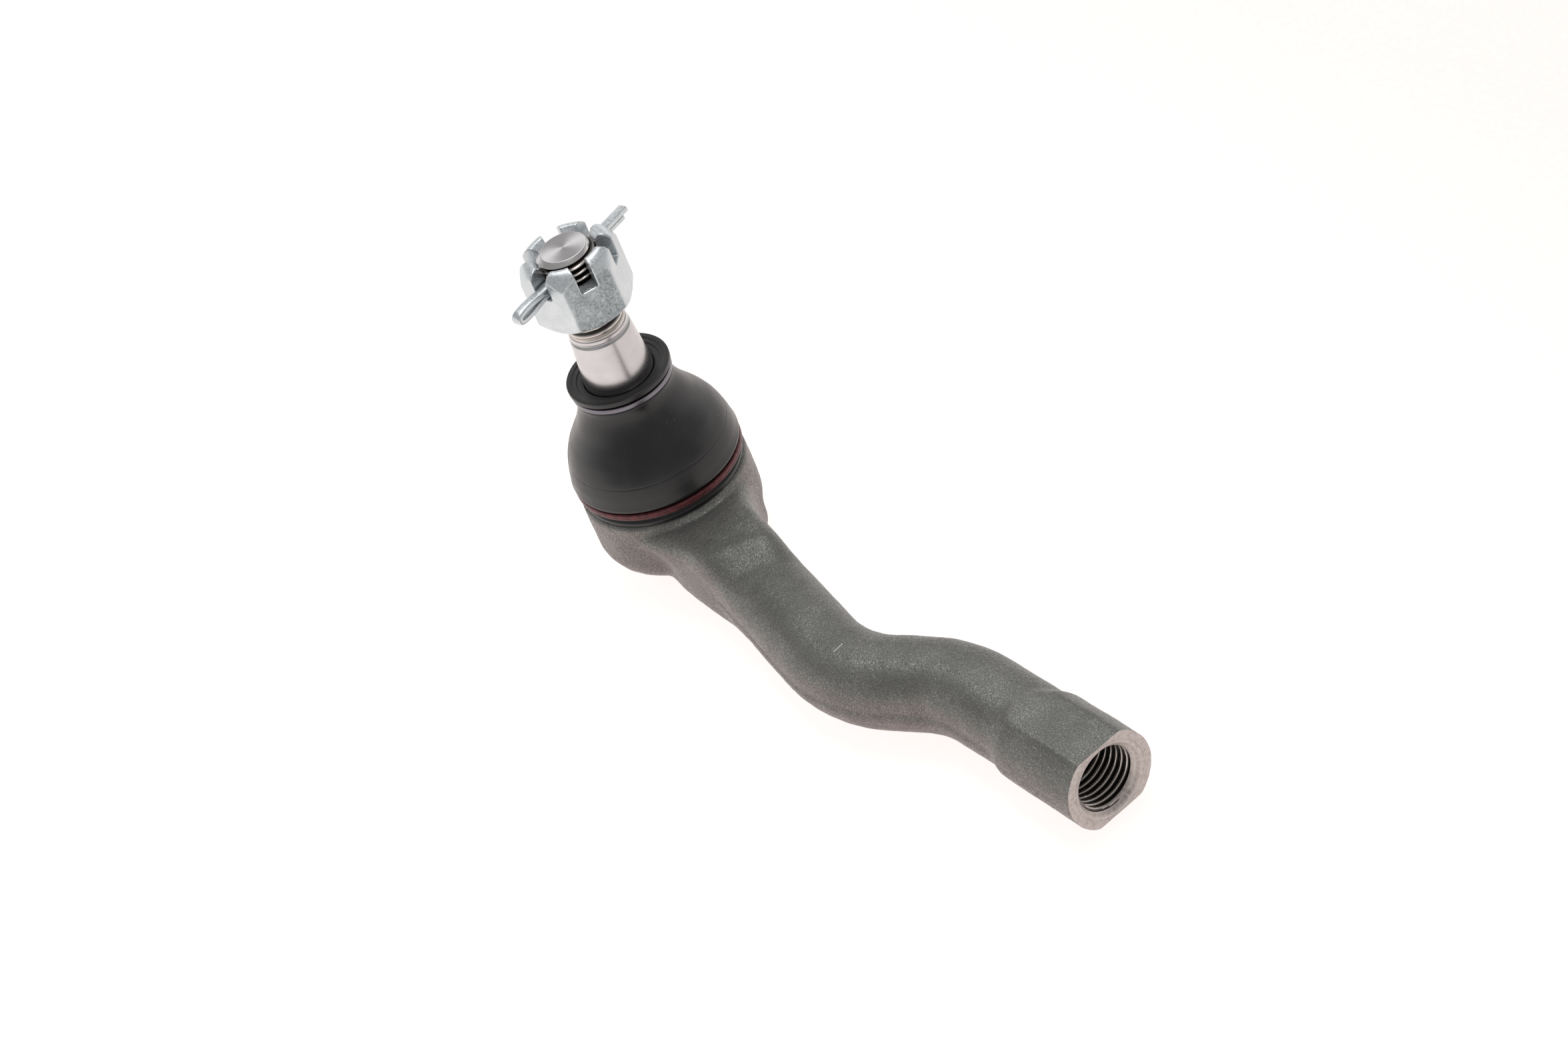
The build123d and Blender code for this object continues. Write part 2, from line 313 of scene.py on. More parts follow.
def ground_steel():
    """Ground and polished alloy steel: warm light grey, with a fine lay round the stud."""
    made, tree, shader, place = material("ground_alloy_steel")
    # grinding marks are some 0.03 mm apart, drawn at about 0.14 mm so that they show
    lay = lay_round(tree, place, 60.0, 7000.0, 3.0)
    plug(tree, shader, {
        "Base Color": ramp(tree, grain(tree, place, 5.0, 3.0), (0.3, "#bbb8b9"), (0.7, "#c8c5c6")),
        "Roughness": spread(tree, lay, 0.3, 0.7, 0.24, 0.28),
        "Metallic": 1.0,
        "Normal": bump(tree, lay, 0.0012),
    })
    return made


def turned_stud_end():
    """Turned alloy steel on the stud's end: rings about the axis that throw a fan-shaped sheen."""
    made, tree, shader, place = material("turned_alloy_steel")
    apart = add(tree, "ShaderNodeSeparateXYZ", {"Vector": place}).outputs
    rings, _ = rings_about(tree, apart["X"], apart["Y"], 0.35, 2.0)
    plug(tree, shader, {
        "Base Color": ramp(tree, rings, (0.25, "#b3b1b2"), (0.75, "#c2c0c1")),
        "Metallic": 1.0,
        "Roughness": 0.36,
        "Anisotropic": 0.8,
        "Tangent": add(tree, "ShaderNodeTangent", direction_type="RADIAL", axis="Z").outputs["Tangent"],
        "Normal": bump(tree, rings, 0.004),
    })
    return made


def zinc_plate():
    """Bright zinc plate: cool bluish white metal with a grainy haze, with painted shade on the flat towards
    the rod, which faces the camera.
    """
    made, tree, shader, place = material("bright_zinc_plate")
    haze = grain(tree, place, 0.5, 1.0, 0.5)
    both = weighed(tree, haze, 0.5, grain(tree, place, 3.0, 3.0))
    plate = ramp(tree, both, (0.3, "#bcc3c6"), (0.5, "#c8cdd0"), (0.7, "#d8dcde"))
    # the darker copy of the plate is painted shade, laid on the flat that faces the camera
    shaded_plate = ramp(tree, both, (0.36, "#959da1"), (0.5, "#a8b0b3"), (0.64, "#bfc6c8"))
    toward = (math.cos(SHADED_FLAT_ANGLE), math.sin(SHADED_FLAT_ANGLE), 0)
    camera_side_shade = spread(tree, facing(tree, toward), 0.93, 0.985, 0.0, 1.0)
    plug(tree, shader, {
        "Base Color": mix(tree, camera_side_shade, plate, shaded_plate),
        "Roughness": spread(tree, haze, 0.3, 0.7, 0.26, 0.46),
        "Metallic": 0.85,
        "Normal": bump(tree, haze, 0.01),
    })
    return made


def satin_rubber():
    """Moulded chloroprene rubber: near black with a soft satin sheen, chalky specks and smudges."""
    made, tree, shader, place = material("moulded_chloroprene_rubber")
    specks = spread(tree, grain(tree, place, 0.5, 1.0), 0.76, 0.8, 0.0, 0.5)
    smudge = grain(tree, place, 9.0, 6.0, 0.65)
    skin = ramp(tree, smudge, (0.45, "#0f0f10"), (0.6, "#151516"), (0.78, "#29292b"))
    plug(tree, shader, {
        "Base Color": mix(tree, specks, skin, "#6a6a6c"),
        "Roughness": spread(tree, smudge, 0.4, 0.7, 0.28, 0.46),
        "IOR": 1.5,
        "Normal": bump(tree, grain(tree, place, 0.6, 3.0), 0.015),
    })
    return made


def red_wire():
    """Spring wire with a dark red baked coat, glossy along its top."""
    made, tree, shader, place = material("dark_red_coated_wire")
    colour = ramp(tree, grain(tree, place, 1.2, 3.0), (0.35, "#43191c"), (0.7, "#642c30"))
    plug(tree, shader, {"Base Color": colour, "Roughness": 0.32, "Metallic": 0.3})
    return made


def ring_steel():
    """Rolled steel strip: grey and shiny, with marks that run round the ring."""
    made, tree, shader, place = material("rolled_steel_strip")
    colour = ramp(tree, lay_round(tree, place, 90.0, 6000.0, 2.0), (0.3, "#68666c"), (0.7, "#827f86"))
    plug(tree, shader, {"Base Color": colour, "Metallic": 1.0, "Roughness": 0.3})
    return made


def acetal():
    """Moulded acetal: waxy off-white plastic."""
    made, tree, shader, place = material("moulded_acetal")
    colour = ramp(tree, grain(tree, place, 3.0), (0.3, "#d9d5c8"), (0.7, "#e4e1d6"))
    plug(tree, shader, {"Base Color": colour, "Roughness": 0.45, "Subsurface Weight": 0.1,
                        "Subsurface Radius": (0.001, 0.001, 0.0008)})
    return made


def spring_steel():
    """Blued spring steel: dark, smooth and slightly oily."""
    made, tree, shader, place = material("blued_spring_steel")
    colour = ramp(tree, grain(tree, place, 2.0), (0.3, "#55585d"), (0.7, "#6e7277"))
    plug(tree, shader, {"Base Color": colour, "Metallic": 1.0, "Roughness": 0.35})
    return made


def lithium_grease():
    """Lithium grease: amber, glossy and lumpy."""
    made, tree, shader, place = material("lithium_grease")
    lumps = grain(tree, place, 2.5, 4.0)
    colour = ramp(tree, lumps, (0.3, "#7a5a24"), (0.7, "#94713a"))
    plug(tree, shader, {"Base Color": colour, "Roughness": 0.25, "Normal": bump(tree, lumps, 0.4)})
    return made


FORGED, TURNED = forged_steel(), machined_steel()
ROD_THREAD = cut_thread("tapped_carbon_steel", ARM_Z, ROD_THREAD_MAJOR_R, ROD_THREAD_MINOR_R)
STUD_THREAD = cut_thread("rolled_thread_alloy_steel", None, STUD_THREAD_R - 0.8, STUD_THREAD_R)
GROUND, STUD_END = ground_steel(), turned_stud_end()
ZINC, RING, RED_WIRE, BLUED = zinc_plate(), ring_steel(), red_wire(), spring_steel()
RUBBER, ACETAL, GREASE = satin_rubber(), acetal(), lithium_grease()


# ---- Mesh helpers ----


def show(name, data):
    """A new object in the scene with the given mesh, camera or light."""
    made = bpy.data.objects.new(name, data)
    bpy.context.scene.collection.objects.link(made)
    return made


def mesh_object(name, vertices, faces, slots=(), smooth_angle=35.0):
    """A mesh object in metres from millimetre vertices, smooth below an edge angle."""
    data = bpy.data.meshes.new(name)
    data.from_pydata([Vector(v) * MM for v in vertices], [], faces)
    data.validate()
    made = show(name, data)
    set_finishes(made, *slots)
    smooth(made, smooth_angle)
    return made


def set_finishes(piece, *finishes):
    """Give a piece these materials in this order."""
    piece.data.materials.clear()
    for finish in finishes:
        piece.data.materials.append(finish)


def smooth(piece, angle=35.0):
    """Shade a mesh smooth and mark edges sharper than the angle."""
    data = piece.data
    data.shade_smooth()
    data.set_sharp_from_angle(angle=math.radians(angle))


def edit(piece, change):
    """Run change(bm) on a piece's mesh."""
    bm = bmesh.new()
    bm.from_mesh(piece.data)
    change(bm)
    bm.to_mesh(piece.data)
    bm.free()
    piece.data.update()


def face_outwards(piece):
    """Recalculate a closed mesh's normals."""
    edit(piece, lambda bm: bmesh.ops.recalc_face_normals(bm, faces=bm.faces))


def apply_modifiers(piece):
    """Turn a piece's modifiers into plain mesh."""
    evaluated = piece.evaluated_get(bpy.context.evaluated_depsgraph_get())
    plain = bpy.data.meshes.new_from_object(evaluated)
    piece.modifiers.clear()
    piece.data = plain
    return piece


def rounded(points, steps=5):
    """An outline whose corners (r, z, radius) become arcs; a missing radius leaves a sharp corner."""
    outline = []
    last = len(points) - 1
    for i, point in enumerate(points):
        radius = point[2] if len(point) > 2 else 0.0
        here = Vector(point[:2])
        if radius == 0 or i in (0, last):
            outline.append(tuple(here))
            continue
        back = Vector(points[i - 1][:2]) - here
        on = Vector(points[i + 1][:2]) - here
        half = back.angle(on) / 2
        reach = min(radius / math.tan(half), 0.48 * back.length, 0.48 * on.length)
        start, end = here + back.normalized() * reach, here + on.normalized() * reach
        for k in range(steps + 1):
            t = k / steps
            outline.append(tuple(start * (1 - t) ** 2 + here * 2 * t * (1 - t) + end * t * t))
    return outline


def curve_through(points, steps=8):
    """Points of a smooth curve that passes through the given ones."""
    knots = [Vector(p) for p in points]
    knots = [2 * knots[0] - knots[1]] + knots + [2 * knots[-1] - knots[-2]]
    line = []
    for a, b, c, d in zip(knots, knots[1:], knots[2:], knots[3:]):
        for k in range(steps):
            t = k / steps
            line.append(tuple(0.5 * (2 * b + (c - a) * t + (2 * a - 5 * b + 4 * c - d) * t * t
                                     + (3 * b - a - 3 * c + d) * t ** 3)))
    line.append(tuple(knots[-2]))
    return line


def lathe(name, outline, slots=(), turns=128, closed=False, smooth_angle=35.0):
    """Turn an outline of (r, z) about Z: open from axis to axis, or closed as a ring."""
    vertices, rows, faces = [], [], []
    for r, z in outline:
        if r < 1e-6:
            rows.append([len(vertices)] * turns)
            vertices.append((0, 0, z))
        else:
            rows.append(list(range(len(vertices), len(vertices) + turns)))
            vertices += [(r * math.cos(2 * math.pi * k / turns), r * math.sin(2 * math.pi * k / turns), z)
                         for k in range(turns)]
    pairs = list(zip(rows, rows[1:]))
    if closed:
        pairs.append((rows[-1], rows[0]))
    for low, high in pairs:
        for k in range(turns):
            n = (k + 1) % turns
            corners = []
            for corner in (low[k], low[n], high[n], high[k]):
                if corner not in corners:
                    corners.append(corner)
            if len(corners) > 2:
                faces.append(corners)
    made = mesh_object(name, vertices, faces, slots, smooth_angle)
    face_outwards(made)
    smooth(made, smooth_angle)
    return made


def stretch(outline, step):
    """The same outline with no segment longer than step."""
    line = [outline[0]]
    for start, end in zip(outline, outline[1:]):
        pieces = max(1, math.ceil(math.dist(start, end) / step))
        line += [tuple(Vector(start).lerp(Vector(end), k / pieces)) for k in range(1, pieces + 1)]
    return line


def tube(name, rings, slots=()):
    """A closed skin through rings that have equally many points, with flat ends."""
    around = len(rings[0])
    vertices = [point for ring in rings for point in ring]
    faces = []
    for start in range(0, len(vertices) - around, around):
        for k in range(around):
            n = (k + 1) % around
            faces.append((start + k, start + n, start + around + n, start + around + k))
    faces.append(tuple(range(around)))
    faces.append(tuple(range(len(vertices) - around, len(vertices))))
    made = mesh_object(name, vertices, faces, slots)
    face_outwards(made)
    return made


def block(name, size, matrix):
    """A block of the given size in mm, placed by a matrix in mm."""
    half = [s / 2 for s in size]
    signs = (-1, 1)
    corners = [matrix @ Vector((x * half[0], y * half[1], z * half[2]))
               for x in signs for y in signs for z in signs]
    faces = [(0, 1, 3, 2), (4, 6, 7, 5), (0, 4, 5, 1), (2, 3, 7, 6), (0, 2, 6, 4), (1, 5, 7, 3)]
    made = mesh_object(name, corners, faces)
    face_outwards(made)
    return made


def even_skin(piece, cell_mm):
    """Rebuild a piece as one fine mesh of even cells."""
    remesh = piece.modifiers.new("skin", "REMESH")
    remesh.mode = "VOXEL"
    remesh.voxel_size = cell_mm * MM
    apply_modifiers(piece)


def relax(bm, vertices, passes):
    """Smooth some of a mesh's vertices a number of times."""
    axes = {"use_axis_x": True, "use_axis_y": True, "use_axis_z": True}
    for _ in range(passes):
        bmesh.ops.smooth_vert(bm, verts=vertices, factor=0.5, **axes)


def cut(piece, cutter, operation="DIFFERENCE"):
    """Boolean a piece with a cutter, which is then removed."""
    change = piece.modifiers.new(operation, "BOOLEAN")
    change.operation = operation
    change.solver = "MANIFOLD"
    change.object = cutter
    apply_modifiers(piece)
    bpy.data.objects.remove(cutter)
    return piece


def finish_by_place(piece, choose):
    """Give each face the slot number that choose(centre in mm, normal) returns."""
    for face in piece.data.polygons:
        face.material_index = choose(face.center / MM, face.normal)


def shape_tree(name, **sizes):
    """A geometry node tree with named sizes and a finish, and its inputs."""
    tree = bpy.data.node_groups.new(name, "GeometryNodeTree")
    kinds = [("Geometry", "Geometry")] + [(size, "Float") for size in sizes] + [("Finish", "Material")]
    for socket, kind in kinds:
        made = tree.interface.new_socket(socket.replace("_", " ").title(), in_out="INPUT",
                                         socket_type="NodeSocket" + kind)
        if socket in sizes:
            made.default_value = sizes[socket]
    tree.interface.new_socket("Geometry", in_out="OUTPUT", socket_type="NodeSocketGeometry")
    return tree, add(tree, "NodeGroupInput").outputs


def end_tree(tree, geometry, finish):
    """End a shape's tree with real geometry in its finish."""
    real = add(tree, "GeometryNodeRealizeInstances", {"Geometry": geometry}).outputs["Geometry"]
    coat = add(tree, "GeometryNodeSetMaterial", {"Geometry": real, "Material": finish}).outputs["Geometry"]
    add(tree, "NodeGroupOutput", {"Geometry": coat})
    return tree


def thread_tree():
    """Geometry nodes that cut a right-hand thread into the round wall of a piece about Z."""
    tree, given = shape_tree("cut_thread", pitch=0.0015, depth=0.0008, start=0.0, end=0.01, run_in=0.001,
                             run_out=0.001, wall_radius=0.0055)
    place = add(tree, "GeometryNodeInputPosition").outputs["Position"]
    apart = add(tree, "ShaderNodeSeparateXYZ", {"Vector": place}).outputs
    turn = maths(tree, "DIVIDE", maths(tree, "ARCTAN2", apart["Y"], apart["X"]), 2 * math.pi)
    risen = maths(tree, "DIVIDE", apart["Z"], given["Pitch"])
    phase = maths(tree, "FRACT", maths(tree, "SUBTRACT", risen, turn))
    flank = times(tree, maths(tree, "ABSOLUTE", maths(tree, "SUBTRACT", phase, 0.5)), 2.0)
    groove = add(tree, "ShaderNodeMapRange", {"Value": flank, "From Min": 0.14, "From Max": 0.8},
                 interpolation_type="SMOOTHSTEP").outputs["Result"]
    since = maths(tree, "DIVIDE", maths(tree, "SUBTRACT", apart["Z"], given["Start"]), given["Run In"])
    until = maths(tree, "DIVIDE", maths(tree, "SUBTRACT", given["End"], apart["Z"]), given["Run Out"])
    inside = maths(tree, "MINIMUM", maths(tree, "MINIMUM", since, until), 1.0)
    inside = maths(tree, "MAXIMUM", inside, 0.0)
    sideways = add(tree, "ShaderNodeCombineXYZ", {"X": apart["X"], "Y": apart["Y"]}).outputs[0]
    radius = add(tree, "ShaderNodeVectorMath", {0: sideways}, operation="LENGTH").outputs["Value"]
    outer = maths(tree, "GREATER_THAN", radius, given["Wall Radius"])
    depth = times(tree, times(tree, groove, given["Depth"]), times(tree, inside, outer))
    inward = maths(tree, "DIVIDE", depth, times(tree, maths(tree, "MAXIMUM", radius, 1e-6), -1.0))
    across, up = times(tree, apart["X"], inward), times(tree, apart["Y"], inward)
    shift = add(tree, "ShaderNodeCombineXYZ", {"X": across, "Y": up}).outputs[0]
    moved = add(tree, "GeometryNodeSetPosition", {"Geometry": given["Geometry"], "Offset": shift})
    return end_tree(tree, moved.outputs["Geometry"], given["Finish"])


def coil_tree():
    """Geometry nodes for a wire wound in close turns about Z."""
    tree, given = shape_tree("wound_wire", turns=2.0, radius=0.018, wire_radius=0.0006, height=0.0022,
                             base=0.0)
    spiral = add(tree, "GeometryNodeCurveSpiral", {
        "Resolution": 120, "Rotations": given["Turns"], "Height": given["Height"],
        "Start Radius": given["Radius"], "End Radius": given["Radius"]})
    section = add(tree, "GeometryNodeCurvePrimitiveCircle", {
        "Resolution": 12, "Radius": given["Wire Radius"]})
    wire = add(tree, "GeometryNodeCurveToMesh", {
        "Curve": spiral.outputs["Curve"], "Profile Curve": section.outputs["Curve"], "Fill Caps": True})
    lift = add(tree, "ShaderNodeCombineXYZ", {"Z": given["Base"]}).outputs[0]
    moved = add(tree, "GeometryNodeSetPosition", {"Geometry": wire.outputs["Mesh"], "Offset": lift})
    shaded = add(tree, "GeometryNodeSetShadeSmooth", {"Geometry": moved.outputs["Geometry"]})
    return end_tree(tree, shaded.outputs["Geometry"], given["Finish"])


def run_tree(piece, tree, **values):
    """Evaluate a geometry node tree on a piece with the named inputs and keep the plain mesh."""
    change = piece.modifiers.new(tree.name, "NODES")
    change.node_group = tree
    sockets = {item.name: item.identifier for item in tree.interface.items_tree if item.in_out == "INPUT"}
    for name, value in values.items():
        change[sockets[name.replace("_", " ").title()]] = value
    return apply_modifiers(piece)


# ---- Housing: forged drum, S-shaped arm and threaded barrel ----


def arm_line(step=1.0):
    """Points (x, y) and headings along the arm's centre line: straight runs joined by tangent arcs."""
    corners = [Vector(ARM_START)] + [Vector(c) for c in ARM_CORNERS] + [Vector((ROD_END_X + 4, 0.0))]
    legs, previous = [], corners[0]
    for before, corner, after in zip(corners, corners[1:], corners[2:]):
        into, away = (corner - before).normalized(), (after - corner).normalized()
        turn = into.angle_signed(away) * -1
        reach = ARM_BEND_R * math.tan(abs(turn) / 2)
        start = corner - into * reach
        legs.append((previous, into, (start - previous).length, 0.0))
        legs.append((start, into, ARM_BEND_R * abs(turn), turn))
        previous = corner + away * reach
    final = (corners[-1] - corners[-2]).normalized()
    legs.append((previous, final, (corners[-1] - previous).length, 0.0))
    line = []
    for begin, heading, length, turn in legs:
        count = max(2, round(length / step))
        side = Vector((-heading.y, heading.x)) * (1 if turn >= 0 else -1)
        for k in range(count):
            along = length * k / count
            if turn == 0:
                line.append((begin + heading * along, heading))
                continue
            swept = along / ARM_BEND_R
            c, s = math.cos(swept), math.sin(swept)
            point = begin + heading * ARM_BEND_R * s + side * ARM_BEND_R * (1 - c)
            line.append((point, (heading * c + side * s).normalized()))
    line.append((corners[-1], final))
    return line


def between(value, low, high, at_low, at_high):
    """Blend smoothly from at_low to at_high as value goes from low to high."""
    t = min(1.0, max(0.0, (value - low) / (high - low)))
    t = t * t * (3 - 2 * t)
    return at_low + (at_high - at_low) * t


def arm_section(x, angle):
    """Point (across, up) on the arm's skin at a rod position and an angle round its section, in mm."""
    c, s = math.cos(angle), math.sin(angle)
    towards_left = c < 0
    squareness = between(x, 27, 45, 5.5, 2.5)
    wide = between(x, 14, 38, 11.6, 8.8) if towards_left else 8.3 + between(x, 34, 46, 0, 0.75)
    if not towards_left:
        wide += 5.0 * max(0.0, 1 - max(0.0, x - 11.0) / 13.0) ** 2
    across = wide * math.copysign(abs(c) ** (2 / squareness), c)
    skewed_x = x - 0.25 * across
    step = min(1.0, max(0.0, (skewed_x - 33.0) / 6.5))
    top = 10.0 - 1.7 * step
    up = (top if s > 0 else 8.8) * math.copysign(abs(s) ** (2 / squareness), s)
    if towards_left:
        flare = between(x, 12, 26, 0.36, 0.0) * max(0.0, min(1.0, (up + 2.0) / 9.0)) ** 1.6
        across *= 1 + flare
    return across, up


def flash_line(x, z):
    """Height in mm of the trimmed flash band, which runs round the arm just below its middle."""
    if x < 27 or x > ROD_END_X:
        return 0.0
    band = (ARM_Z - z - 1.4) / 1.3
    return FLASH_HIGH * max(0.0, 1 - band ** 8) * between(x, 27, 34, 0, 1) * between(x, 108, 116, 1, 0.3)


def arm_mesh():
    """The arm as rings of its section along its centre line, closed at both ends."""
    around = 72
    rings = []
    for point, heading in arm_line():
        if point.x >= BARREL_START_X + 8:
            continue
        side = Vector((-heading.y, heading.x))
        ring = []
        for k in range(around):
            across, up = arm_section(point.x, 2 * math.pi * k / around)
            ring.append((point.x + side.x * across, point.y + side.y * across, ARM_Z + up))
        rings.append(ring)
    return tube("arm_core", rings)


def barrel_mesh():
    """The barrel: a round bar with flats above and below, its shoulder sloped down to the arm."""
    around = 96
    stations = ((BARREL_START_X - 1.6, 8.6), (BARREL_START_X, 9.2), (BARREL_START_X + 2.2, BARREL_R),
                (ROD_END_X + 3, BARREL_R))
    rings = []
    for x, radius in stations:
        ring = []
        for k in range(around):
            a = 2 * math.pi * k / around
            up = max(-BARREL_FLAT, min(BARREL_FLAT, radius * math.sin(a)))
            late = BARREL_SKEW * radius * math.cos(a) if x < BARREL_START_X + 5 else 0.0
            ring.append((x + late, radius * math.cos(a), ARM_Z + up))
        rings.append(ring)
    return tube("barrel_core", rings)


def drum_mesh():
    """The socket drum's outer shape."""
    outline = rounded([(0, DRUM_BOTTOM_Z), (9.3, DRUM_BOTTOM_Z, 2.0), (DRUM_R, -6.5, 7.0),
                       (DRUM_R, SHOULDER_Z, 0.8), (BOOT_SEAT_R, SHOULDER_Z, 0.4),
                       (BOOT_SEAT_R, BOOT_SEAT_TOP_Z, 0.5), (0, BOOT_SEAT_TOP_Z)], 8)
    return lathe("drum_core", outline, turns=144)


def join(pieces):
    """Join meshes that overlap into the first one."""
    for piece in pieces[1:]:
        cut(pieces[0], piece, "UNION")
    return pieces[0]


def forge(piece):
    """Blend the joined shapes into one forging: fine even mesh, soft roots, slightly uneven skin."""
    even_skin(piece, FORGING_CELL)

    def soften(bm):
        """Smooth the roots, then raise the flash and a slight unevenness."""
        places = np.array([v.co for v in bm.verts]) / MM
        reach = np.hypot(places[:, 0], places[:, 1])
        root = (reach > 16) & (reach < 22) & (places[:, 0] > 4) & (places[:, 2] < SHOULDER_Z - 2.5)
        shoulder = abs(places[:, 0] - BARREL_START_X) < 6
        near = [v for v, soft in zip(bm.verts, root) if soft]
        step = [v for v, soft in zip(bm.verts, shoulder) if soft]
        for vertices, passes in ((near, 14), (step, 4), (bm.verts, 2)):
            relax(bm, vertices, passes)
        bm.normal_update()
        for v in bm.verts:
            place = v.co / MM
            if place.z > SHOULDER_Z - 0.3:
                continue
            lump = noise.noise(place / 7.0) * 0.12 + noise.noise(place / 2.2) * 0.05 - 0.08
            if abs(v.normal.z) < 0.6:
                lump += flash_line(place.x, place.z)
            v.co += v.normal * lump * MM

    edit(piece, soften)
    return piece


def rod_tap():
    """The cutter for the rod thread: a threaded plug along X with its mouth chamfer and drill point."""
    length = ROD_THREAD_LONG
    core_r = 6.0
    chamfer_from = length - (ROD_CHAMFER_R - ROD_THREAD_MINOR_R)
    wall = [(ROD_THREAD_MAJOR_R, 0.4), (ROD_THREAD_MAJOR_R, length - 0.95)]
    outline = [(0, -3.5), (ROD_THREAD_MINOR_R, 0.0)] + stretch(wall, ROD_THREAD_PITCH / 12)
    outline += [(core_r, length - 0.6), (core_r, length + 1.0), (0, length + 1.0)]
    tap = lathe("rod_tap", outline, turns=96)
    run_tree(tap, thread_tree(), pitch=ROD_THREAD_PITCH * MM, start=0.0, end=(length - 0.65) * MM,
             depth=(ROD_THREAD_MAJOR_R - ROD_THREAD_MINOR_R) * MM, run_in=0.25 * MM, run_out=0.25 * MM,
             wall_radius=6.5 * MM, finish=ROD_THREAD)
    mouth = [(0, chamfer_from), (ROD_THREAD_MINOR_R, chamfer_from), (ROD_CHAMFER_R, length),
             (ROD_CHAMFER_R + 1.2, length + 1.2), (0, length + 1.2)]
    cut(tap, lathe("rod_mouth", mouth, turns=96), "UNION")
    tap.data.transform(Matrix.Translation(Vector((ROD_END_X - length, 0, ARM_Z)) * MM)
                       @ Matrix.Rotation(math.pi / 2, 4, "Y"))
    return tap


def cavity_cutter():
    """The socket's inside: seat bore, retainer groove under the rolled rim, and flared mouth."""
    above = BOOT_SEAT_TOP_Z + 1
    outline = [(0, -12.0), (8.6, -12.0), (12.55, -6.0), (12.55, 6.45), (13.45, 6.45), (13.45, 8.05),
               (11.2, 8.05), (12.4, above), (0, above)]
    return lathe("cavity_cutter", outline, turns=96)


def housing():
    """The finished housing, forged skin with machined end, thread and socket."""
    body = forge(join([drum_mesh(), arm_mesh(), barrel_mesh()]))
    body.name = "housing_forging"
    beyond_end = block("end_cutter", (12, 30, 30), Matrix.Translation((ROD_END_X + 6, 0, ARM_Z)))
    for cutter in (beyond_end, rod_tap(), cavity_cutter()):
        cut(body, cutter)
    set_finishes(body, FORGED, TURNED, ROD_THREAD)

    def choose(centre, normal):
        """The bore, its mouth, the sawn end and the socket are machined."""
        from_bore = math.hypot(centre.y, centre.z - ARM_Z)
        if centre.x > ROD_END_X - 0.02 and normal.x > 0.9:
            return 1
        if centre.x > ROD_END_X - 35 and from_bore < ROD_CHAMFER_R + 0.3:
            cone_r = ROD_CHAMFER_R - (ROD_END_X - centre.x)
            return 1 if abs(from_bore - cone_r) < 0.05 and normal.x > 0.5 else 2
        if math.hypot(centre.x, centre.y) < 13.6 and -12.1 < centre.z < BOOT_SEAT_TOP_Z + 0.1:
            return 1
        return 0

    finish_by_place(body, choose)
    smooth(body, 50)
    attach(body, "housing")
    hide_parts("housing")
    return body


# ---- Stud, nut and cotter pin ----


def taper_r(z):
    """Radius of the stud's 1:6 taper at height z."""
    return 6.7 + (44.0 - z) / 12.0


def ball_stud():
    """Ball, neck, ground taper, small collar, rolled thread and turned end."""
    angles = np.linspace(0, math.pi - math.asin(NECK_R / BALL_R), 40)
    ball = [(BALL_R * math.sin(a), -BALL_R * math.cos(a)) for a in angles]
    shank = rounded([ball[-1], (NECK_R, 10.0, 1.0), (NECK_R, 12.5, 2.0), (taper_r(30), 24.0, 3.0),
                     (taper_r(30), 30.0, 1.0), (taper_r(45.6), 45.6, 0.15), (5.95, 46.0, 0.25),
                     (6.25, 46.5, 0.25), (6.25, 47.2, 0.2), (6.0, 47.35)], 5)
    thread_from, thread_to = 47.3, STUD_TOP_Z - 1.0
    wall = [(STUD_THREAD_R, thread_from + 0.1), (STUD_THREAD_R, thread_to)]
    thread = stretch(wall, STUD_THREAD_PITCH / 12)
    end = rounded([thread[-1], (STUD_THREAD_R - 0.1, thread_to + 0.15, 0.2), (4.85, STUD_TOP_Z, 0.25),
                   (3.2, STUD_TOP_Z), (0, STUD_TOP_Z)], 4)
    piece = lathe("ball_stud_turned", ball + shank[1:] + thread + end[1:], turns=120, smooth_angle=40)
    run_tree(piece, thread_tree(), pitch=STUD_THREAD_PITCH * MM, depth=0.9 * MM, start=thread_from * MM,
             end=(STUD_TOP_Z - 0.5) * MM, run_in=3.0 * MM, run_out=0.5 * MM, wall_radius=5.0 * MM,
             finish=STUD_THREAD)
    across = Vector((math.cos(PIN_ANGLE), math.sin(PIN_ANGLE), 0))
    drill = lathe("pin_drill", [(0, -9), (PIN_HOLE_R, -9), (PIN_HOLE_R, 9), (0, 9)], turns=32)
    drill.data.transform(Matrix.Translation((0, 0, PIN_Z * MM))
                         @ across.to_track_quat("Z", "Y").to_matrix().to_4x4())
    cut(piece, drill)
    set_finishes(piece, GROUND, STUD_THREAD, STUD_END)

    def choose(centre, normal):
        """The end, the thread, then the ground rest."""
        if centre.z > STUD_TOP_Z - 0.1 and normal.z > 0.8:
            return 2
        return 1 if 47.25 < centre.z < thread_to + 0.05 else 0

    finish_by_place(piece, choose)
    smooth(piece, 40)
    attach(piece, "stud")
    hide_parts("ball_stud")
    return piece


def hexagon(flats, corner_round, turned, steps=6):
    """Corner points of a hexagon with rounded corners."""
    corner_r = flats / math.sqrt(3)
    centre_r = corner_r - corner_round / math.cos(math.radians(30))
    ring = []
    for k in range(6):
        heading = turned + math.radians(60 * k)
        for i in range(steps + 1):
            a = heading + math.radians(-30 + 60 * i / steps)
            ring.append((centre_r * math.cos(heading) + corner_round * math.cos(a),
                         centre_r * math.sin(heading) + corner_round * math.sin(a)))
    return ring


